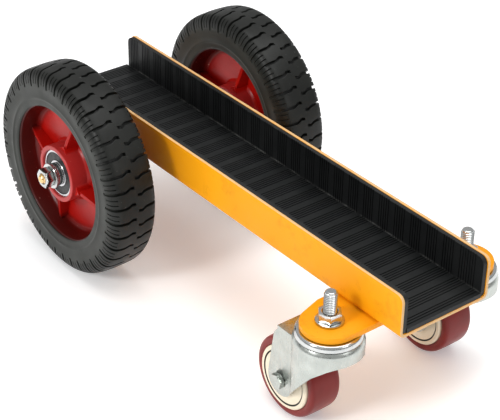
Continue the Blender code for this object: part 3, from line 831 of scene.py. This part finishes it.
def makeFork(side, place):
    wheel = jointAt[f"caster_wheel_{side}_roll"]
    trail = wheel.x - jointAt[f"caster_{side}_swivel"].x
    sheet, half, curve = casterWork["forkSheet"], casterWork["forkHalf"], casterWork["forkRound"]
    inside = casterWork["raceRadius"] - sheet
    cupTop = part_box(f"fork_{side}")[1].z - casterWork["lip"]
    legTop = cupTop - casterWork["cupDepth"]
    cup = asMesh(forkCup(cupTop, legTop), place)
    # both cheeks and the round front are one bent strip, longer and deeper than the fork
    bend = math.degrees(math.asin(half / curve))
    bendInside = math.degrees(math.asin((half - sheet) / (curve - sheet)))
    rear, depth = -0.06, 0.09
    plan = [(rear, -half), *arc((0, 0), curve, bend - 180, 180 - bend, 56), (rear, half),
            (rear, half - sheet), *arc((0, 0), curve - sheet, 180 - bendInside, bendInside - 180, 56),
            (rear, sheet - half)]
    walls = asMesh(prism(plan, legTop - depth, legTop), place)
    # the side view trims it: rear edge, round tip at the wheel bolt, then up along the lower edge
    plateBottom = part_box("caster_plate")[0].z
    wallTop = legTop - 0.0008
    outline = [(-0.0400, wallTop), (-0.0462, plateBottom - 0.0230)]
    outline += arc((trail, wheel.z), casterWork["tip"], 175, 318, 28)
    outline += [(0.0120, plateBottom - 0.0335), (0.0190, plateBottom - 0.0275),
                (0.0225, plateBottom - 0.0245), (0.0265, plateBottom - 0.0220),
                (0.0340, plateBottom - 0.0200), (0.0340, wallTop)]
    reach = 0.04
    walls = combined(walls, ("INTERSECT", asMesh(prism(outline, -reach, reach), place @ sideView)))
    front, back = -casterWork["ledgeFront"], -casterWork["forkRear"]
    shelf = [(front, -half), (front, half), (back, half), (back, -half)]
    ballSpace = asMesh(rod(inside, legTop - 0.01, legTop + 0.01, 96), place)
    ledge = combined(asMesh(prism(shelf, legTop - sheet, legTop), place), ("DIFFERENCE", ballSpace))
    hole = asMesh(rod(casterWork["boltHole"], -reach, reach, 32),
                  place @ Matrix.Translation((trail, 0, wheel.z)) @ sideView)
    fork = combined(cup, ("UNION", walls), ("UNION", ledge), ("DIFFERENCE", hole))
    finishPiece(f"forkPressing_{side}", fork, "forkZinc", f"caster_{side}", replaced=[f"fork_{side}"],
                smoothEdge=casterWork["softEdge"])


casterWheel = {
    "radius": 0.0383, "half": 0.016, "inside": 0.0304, "core": 0.0302, "coreHalf": 0.0175, "pocket": 0.0022,
    "cover": 0.0250, "coverGap": 0.0009, "bearing": 0.0110, "bearingGap": 0.0003, "seat": 0.0085,
    "bore": 0.0080, "sleeve": 0.0050,
}


def makeCasterWheel(side):
    body = f"caster_wheel_{side}"
    place = Matrix.Translation(jointAt[f"caster_wheel_{side}_roll"]) @ outboard(side)
    work = casterWheel
    radius, half = work["radius"], work["half"]
    outer = [(work["inside"], half - 0.0004), (0.0340, half), (0.0366, half - 0.0008),
             (0.0379, half - 0.0028), (radius - 0.0001, half - 0.0060), (radius, 0.0)]
    profile = outer + [(r, -h) for r, h in reversed(outer[:-1])]
    finishPiece(f"casterTread_{side}", spun(rounded(profile, 0.0016, 4), 128), "casterRed", body, place,
                [f"caster_tread_{side}"])
    core, coreHalf, cover = work["core"], work["coreHalf"], work["cover"]
    pocket, seat = coreHalf - work["pocket"], coreHalf - work["seat"]
    gapOutside, seatRadius = cover + work["coverGap"], work["bearing"] + work["bearingGap"]
    coreSide = [(core, coreHalf - 0.0013), (core - 0.0012, coreHalf), (gapOutside, coreHalf),
                (gapOutside, pocket), (seatRadius, pocket), (seatRadius, seat), (work["bore"], seat)]
    profile = [(r, -h) for r, h in coreSide] + list(reversed(coreSide))
    finishPiece(f"casterCore_{side}", spun(rounded(profile, 0.0004, 2), 112), "cream", body, place,
                [f"caster_core_{side}"])
    for end, sign in (("outer", 1), ("inner", -1)):
        flat = sorted((sign * (coreHalf - 0.0018), sign * (coreHalf - 0.0004)))
        cap = spun(ringProfile(work["sleeve"] + 0.0003, cover, *flat, 0.0005), 96)
        finishPiece(f"{end}WheelCap_{side}", cap, "cream", body, place, [f"{end}_cover_{side}"])


boltWork = {
    "flats": 0.013, "chamfer": 0.0009, "head": 0.0053, "shank": 0.004, "end": 0.0090,
    "nut": 0.0065, "nutBore": 0.0042, "gap": 0.0003, "turn": 18, "softEdge": 0.0002,
}


def makeWheelBolt(side):
    body = f"caster_{side}"
    place = Matrix.Translation(jointAt[f"caster_wheel_{side}_roll"]) @ outboard(side)
    flats, chamfer, shank = boltWork["flats"], boltWork["chamfer"], boltWork["shank"]
    face = casterWork["forkHalf"] + boltWork["gap"]
    head = nutShape(flats, 0.0, face, face + boltWork["head"], chamfer)
    end = -face - boltWork["end"]
    rodPoints = [(0, face + beyond), (shank, face + beyond), (shank, end), (0, end)]
    bolt = combined(head, ("UNION", asMesh(spun(rounded(rodPoints, 0.0006, 2), 32))))
    turn = Matrix.Rotation(math.radians(boltWork["turn"]), 4, "Z")
    finishPiece(f"wheelBolt_{side}", bolt, "forkZinc", body, place @ turn, [f"caster_bolt_{side}"],
                smoothEdge=boltWork["softEdge"])
    nut = nutShape(flats, boltWork["nutBore"], -face - boltWork["nut"], -face, chamfer)
    finishPiece(f"wheelBoltNut_{side}", nut, "zinc", body, place, [f"caster_bolt_nut_{side}"],
                smoothEdge=boltWork["softEdge"])


for side in sides:
    axis = jointAt[f"caster_{side}_swivel"]
    stemPlace = Matrix.Translation((axis.x, axis.y, 0))
    makeRaces(side, stemPlace)
    makeFork(side, stemPlace)
    makeCasterWheel(side)
    makeWheelBolt(side)
print("casters ready")


tyre = {
    "radius": 0.104, "half": 0.025, "lip": 0.0680, "seat": 0.0691, "blocks": 40, "columns": 16,
    "grooveDepth": 0.0042, "sidewallDepth": 0.0007, "grooveStart": 0.0875, "sipeStart": 0.0905,
    "sipeInside": 0.0185, "centre": 0.0012,
    "near": {"groove": (6, 7, 8), "sipes": (12, 1)},  # columns of one block, outer half of the tread
    "far": {"groove": (2, 3, 4), "sipes": (8, 13)},
    "sipeShare": 0.5, "keenFrom": 50, "softEdge": 0.0002, "weld": 2e-6,
    "straightFrom": 0.0100, "stepTo": 0.0055, "hookFrom": 0.0030, "step": 1.25, "hook": 0.7,
}


def tyreHalfProfile():
    # (radius, height) from the middle of the tread out to the rim lip
    radius, half = tyre["radius"], tyre["half"]
    crown = [(0.0, 0.0), (0.0012, 0.0), (0.0030, 0.0), (0.0055, 0.0001), (0.0080, 0.0002), (0.0100, 0.0003),
             (0.0130, 0.0005), (0.0155, 0.0008), (0.0175, 0.0012), (0.0190, 0.0018)]
    points = [(radius - drop, y) for y, drop in crown]
    points += [(0.1012, 0.0205), (0.1000, 0.0217), (0.0985, 0.0228), (0.0965, 0.0238), (0.0945, 0.0244),
               (0.0925, 0.0247), (0.0905, 0.0249), (0.0890, half), (0.0875, half), (0.0850, 0.0248),
               (0.0820, 0.0246), (0.0795, 0.0246), (0.0776, 0.0248), (0.0768, half), (0.0758, half),
               (0.0750, 0.0245), (0.0735, 0.0243), (0.0715, 0.0242), (0.0695, 0.0240), (0.0684, 0.0236),
               (tyre["lip"], 0.0231), (tyre["lip"], 0.0227), (tyre["seat"], 0.0226)]
    return points


def grooveShift(height):
    # how far a groove has wandered round the tyre, in degrees: straight from the shoulder, one step, a hook
    reach = abs(height)
    if reach > tyre["straightFrom"]:
        wander = 0.0
    elif reach > tyre["stepTo"]:
        wander = (tyre["straightFrom"] - reach) / (tyre["straightFrom"] - tyre["stepTo"]) * tyre["step"]
    else:
        wander = tyre["step"] - max(0.0, tyre["hookFrom"] - reach) / tyre["hookFrom"] * tyre["hook"]
    return math.copysign(wander, height)


def sink(shape, faces, share):
    # lowers a run of faces to the floor of a groove, with walls all round
    grown = bmesh.ops.extrude_face_region(shape, geom=faces)["geom"]
    bmesh.ops.delete(shape, geom=[face for face in faces if face.is_valid], context="FACES")
    start, radius = tyre["grooveStart"], tyre["radius"]
    for vert in [item for item in grown if isinstance(item, bmesh.types.BMVert)]:
        distance = vert.co.xy.length
        rise = min(1.0, max(0.0, (distance - start) / (radius - start)))
        depth = share * (tyre["sidewallDepth"] + (tyre["grooveDepth"] - tyre["sidewallDepth"]) * rise)
        inward = Vector((-vert.co.x / distance * rise, -vert.co.y / distance * rise,
                         -math.copysign(1 - rise, vert.co.z)))
        vert.co += inward.normalized() * depth


def tyreSector(blockAngle):
    # one block's share of the tyre, plain, with a column of faces for each step round it
    half = tyreHalfProfile()
    profile = [(r, -y) for r, y in reversed(half[1:])] + half
    shape = bmesh.new()
    corners = [shape.verts.new((r, 0.0, y)) for r, y in profile]
    for first, second in zip(corners, corners[1:] + corners[:1]):
        shape.edges.new((first, second))
    bmesh.ops.spin(shape, geom=shape.verts[:] + shape.edges[:], cent=(0, 0, 0), axis=(0, 0, 1),
                   dvec=(0, 0, 0), angle=blockAngle, steps=tyre["columns"], use_merge=False,
                   use_duplicate=False)
    bmesh.ops.recalc_face_normals(shape, faces=shape.faces)
    outermost = max(shape.faces, key=lambda face: face.calc_center_median().xy.length)
    if outermost.normal.dot(Vector((*outermost.calc_center_median().xy, 0.0))) < 0:
        bmesh.ops.reverse_faces(shape, faces=shape.faces)
    return shape


def cutTread(shape, column):
    # grooves run in from the shoulder, with two short sipes between them
    grooves, sipes = [], []
    for face in shape.faces:
        centre = face.calc_center_median()
        index = int(math.atan2(centre.y, centre.x) / column)
        row = tyre["near"] if centre.z > 0 else tyre["far"]
        distance, reach = centre.xy.length, abs(centre.z)
        if distance < tyre["grooveStart"] or reach < tyre["centre"]:
            continue
        if index in row["groove"]:
            grooves.append(face)
        elif index in row["sipes"] and reach > tyre["sipeInside"] and distance > tyre["sipeStart"]:
            sipes.append(face)
    sink(shape, grooves, 1.0)
    sink(shape, sipes, tyre["sipeShare"])
    for vert in shape.verts:
        vert.co.rotate(Matrix.Rotation(math.radians(grooveShift(vert.co.z)), 3, "Z"))
    shoulder = tyre["grooveStart"] + 0.0015
    keen = [edge for edge in shape.edges
            if edge.is_manifold and edge.calc_face_angle() > math.radians(tyre["keenFrom"])
            and min(vert.co.xy.length for vert in edge.verts) > shoulder]
    bmesh.ops.bevel(shape, geom=keen, offset=tyre["softEdge"], segments=1, profile=0.5,
                    affect="EDGES", clamp_overlap=True, material=-1)


def makeTyre(side, place):
    blockAngle = fullTurn / tyre["blocks"]
    shape = tyreSector(blockAngle)
    cutTread(shape, blockAngle / tyre["columns"])
    copies = tyre["blocks"] - 1
    bmesh.ops.spin(shape, geom=shape.verts[:] + shape.edges[:] + shape.faces[:], cent=(0, 0, 0),
                   axis=(0, 0, 1), dvec=(0, 0, 0), angle=blockAngle * copies, steps=copies,
                   use_merge=False, use_duplicate=True)
    bmesh.ops.remove_doubles(shape, verts=shape.verts, dist=tyre["weld"])
    bmesh.ops.recalc_face_normals(shape, faces=shape.faces)
    finishPiece(f"tyreTread_{side}", shape, "tyreRubber", f"rear_wheel_{side}", place, [f"tyre_{side}"],
                sharp=38.0)


rim = {
    "opening": 0.0685, "waist": 0.0648, "outside": 0.0687, "half": 0.0233, "lipHalf": 0.0222,
    "hub": 0.0285, "web": 0.0033, "fillet": 0.003, "castEdge": 0.0011,
    "bossCorner": 0.0340, "bossDepth": 0.0040, "ribThickness": 0.0040, "ribTurn": {"right": 74, "left": 14},
    "ribInner": 0.0015, "ribOuter": 0.013, "ribSunk": 0.0016, "ribEdge": 0.0009,
    "bearing": 0.0238, "bore": 0.0195, "bearingDepth": 0.0163, "clear": 0.001, "overrun": 0.01,
}


def bossAndRibs(turn):
    # a square boss round the hub whose corners run out into four tapered ribs
    half, clear, overrun = rim["half"], rim["clear"], rim["overrun"]
    bossHalf = half - rim["bossDepth"]
    quarter = [(rim["bossCorner"] - 0.004, bossHalf - rim["ribInner"]),
               (rim["waist"] + rim["ribSunk"], half - rim["ribOuter"])]
    upper = [(-x, y) for x, y in reversed(quarter)] + quarter
    outline = upper + [(x, -y) for x, y in reversed(upper)]
    thick = rim["ribThickness"] / 2
    bars = []
    for index in range(2):
        across = turn @ Matrix.Rotation(index * math.pi / 2, 4, "Z") @ sideView
        bars.append(("UNION", asMesh(prism(outline, -thick, thick), across)))
    boss = asMesh(prism(arc((0, 0), rim["bossCorner"], 0, 270, 3), -bossHalf, bossHalf), turn)
    hub = asMesh(rod(rim["hub"] - clear, -half - overrun, half + overrun, 96))
    solid = combined(boss, *bars, ("DIFFERENCE", hub))
    # soft cast edges
    cast = bmesh.new()
    cast.from_mesh(solid)
    bmesh.ops.remove_doubles(cast, verts=cast.verts, dist=1e-5)
    bmesh.ops.dissolve_limit(cast, angle_limit=math.radians(1), verts=cast.verts, edges=cast.edges)
    keen = [edge for edge in cast.edges if edge.is_manifold and edge.calc_face_angle() > math.radians(50)]
    bmesh.ops.bevel(cast, geom=keen, offset=rim["ribEdge"], segments=3, profile=0.5, affect="EDGES",
                    clamp_overlap=True, material=-1)
    return cast


def makeRim(side, place):
    half, lipHalf, opening = rim["half"], rim["lipHalf"], rim["opening"]
    web, hub, waist, fillet = rim["web"], rim["hub"], rim["waist"], rim["fillet"]
    shelf = half - rim["bearingDepth"]
    section = [
        (rim["outside"], lipHalf), (opening - 0.0008, lipHalf), (opening - 0.0016, lipHalf - 0.0012),
        (waist, web + fillet), (waist - fillet, web), (hub + fillet, web), (hub, web + fillet), (hub, half),
        (rim["bearing"], half), (rim["bearing"], shelf), (rim["bore"], shelf),
    ]
    profile = [(r, -h) for r, h in section] + list(reversed(section))
    shape = spun(rounded(profile, rim["castEdge"], 3), 128)
    turn = Matrix.Rotation(math.radians(rim["ribTurn"][side]), 4, "Z")
    mergeInto(shape, bossAndRibs(turn))
    finishPiece(f"rimCasting_{side}", shape, "rimRed", f"rear_wheel_{side}", place, [f"rim_{side}"])


bearing = {
    "outside": 0.0235, "race": 0.0212, "innerRace": 0.0132, "bore": 0.0088, "width": 0.014,
    "recess": 0.002, "sealGap": 0.0002, "sealDepth": 0.0005,
}


def makeBearing(side, place):
    body = f"rear_wheel_{side}"
    gap, depth = bearing["sealGap"], bearing["sealDepth"]
    for end, sign in (("outer", 1), ("inner", -1)):
        high = rim["half"] - bearing["recess"]
        low = high - bearing["width"]
        span = sorted((sign * low, sign * high))
        rings = spun(ringProfile(bearing["race"], bearing["outside"], *span, 0.0005), 80)
        mergeInto(rings, spun(ringProfile(bearing["bore"], bearing["innerRace"], *span, 0.0005), 64))
        finishPiece(f"{end}BearingRings_{side}", rings, "steel", body, place, [f"{end}_bearing_{side}"])
        seat = sorted((sign * (low + depth), sign * (high - depth)))
        seal = spun(ringProfile(bearing["innerRace"] + gap, bearing["race"] - gap, *seat, 0.0006), 80)
        finishPiece(f"{end}BearingSeal_{side}", seal, "seal", body, place)


axle = {
    "radius": 0.0085, "thread": 0.005, "core": 0.0042, "pitch": 0.0015, "threadDepth": 0.0010,
    "chamfer": 0.0012, "shoulder": 0.0003, "washer": 0.0125, "flats": 0.017, "gap": 0.0003,
    "softEdge": 0.00025,
}
sleeves = {
    "hub_spacer": ("hubSpacer", 0.0123),
    "inboard_sleeve": ("inboardSleeve", 0.0123),
    "outboard_collar": ("outboardCollar", 0.0113),
}


def makeAxle():
    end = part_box("axle")[1].y
    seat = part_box("axle_washer_left")[0].y - axle["shoulder"]
    centre = jointAt["rear_wheel_left_spin"]
    place = Matrix.Translation((centre.x, 0, centre.z)) @ sideView
    core, chamfer = axle["core"], axle["chamfer"]
    half = [(0.0, end), (core - chamfer, end), (core, end - chamfer), (core, seat + 0.0015),
            (axle["thread"], seat), (axle["radius"], seat)]
    profile = half + [(r, -h) for r, h in reversed(half)]
    shape = spun(rounded(profile, 0.0005, 3), 64)
    for turn in (Matrix(), Matrix.Rotation(math.pi, 4, "X")):
        ridge = threadRidge(axle["thread"], axle["pitch"], seat + 0.001, end - 0.001, axle["threadDepth"])
        mergeInto(shape, ridge, turn)
    finishPiece("axleBar", shape, "yellowZinc", "frame", place, ["axle"])


def alongAxle(node, side):
    # where a node begins and ends along its wheel's axis, from the wheel's middle outwards
    first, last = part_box(f"{node}_{side}")
    centre = jointAt[f"rear_wheel_{side}_spin"]
    return sorted((sides[side] * (first.y - centre.y), sides[side] * (last.y - centre.y)))


def makeAxleFittings(side, place):
    for node, (pieceName, outside) in sleeves.items():
        profile = ringProfile(axle["radius"] + axle["gap"], outside, *alongAxle(node, side), 0.0006)
        finishPiece(f"{pieceName}_{side}", spun(profile, 64), "zinc", "frame", place, [f"{node}_{side}"])
    bore = axle["thread"] + axle["gap"]
    washer = spun(ringProfile(bore, axle["washer"], *alongAxle("axle_washer", side), 0.0006), 64)
    finishPiece(f"axleWasher_{side}", washer, "zinc", "frame", place, [f"axle_washer_{side}"])
    nut = nutShape(axle["flats"], axle["thread"] + 0.0002, *alongAxle("axle_nut", side))
    finishPiece(f"axleNut_{side}", nut, "zinc", "frame", place, [f"axle_nut_{side}"],
                smoothEdge=axle["softEdge"])


makeAxle()
for side in sides:
    wheelPlace = Matrix.Translation(jointAt[f"rear_wheel_{side}_spin"]) @ outboard(side)
    makeTyre(side, wheelPlace)
    makeRim(side, wheelPlace)
    makeBearing(side, wheelPlace)
    makeAxleFittings(side, wheelPlace)
print("rear wheels ready")
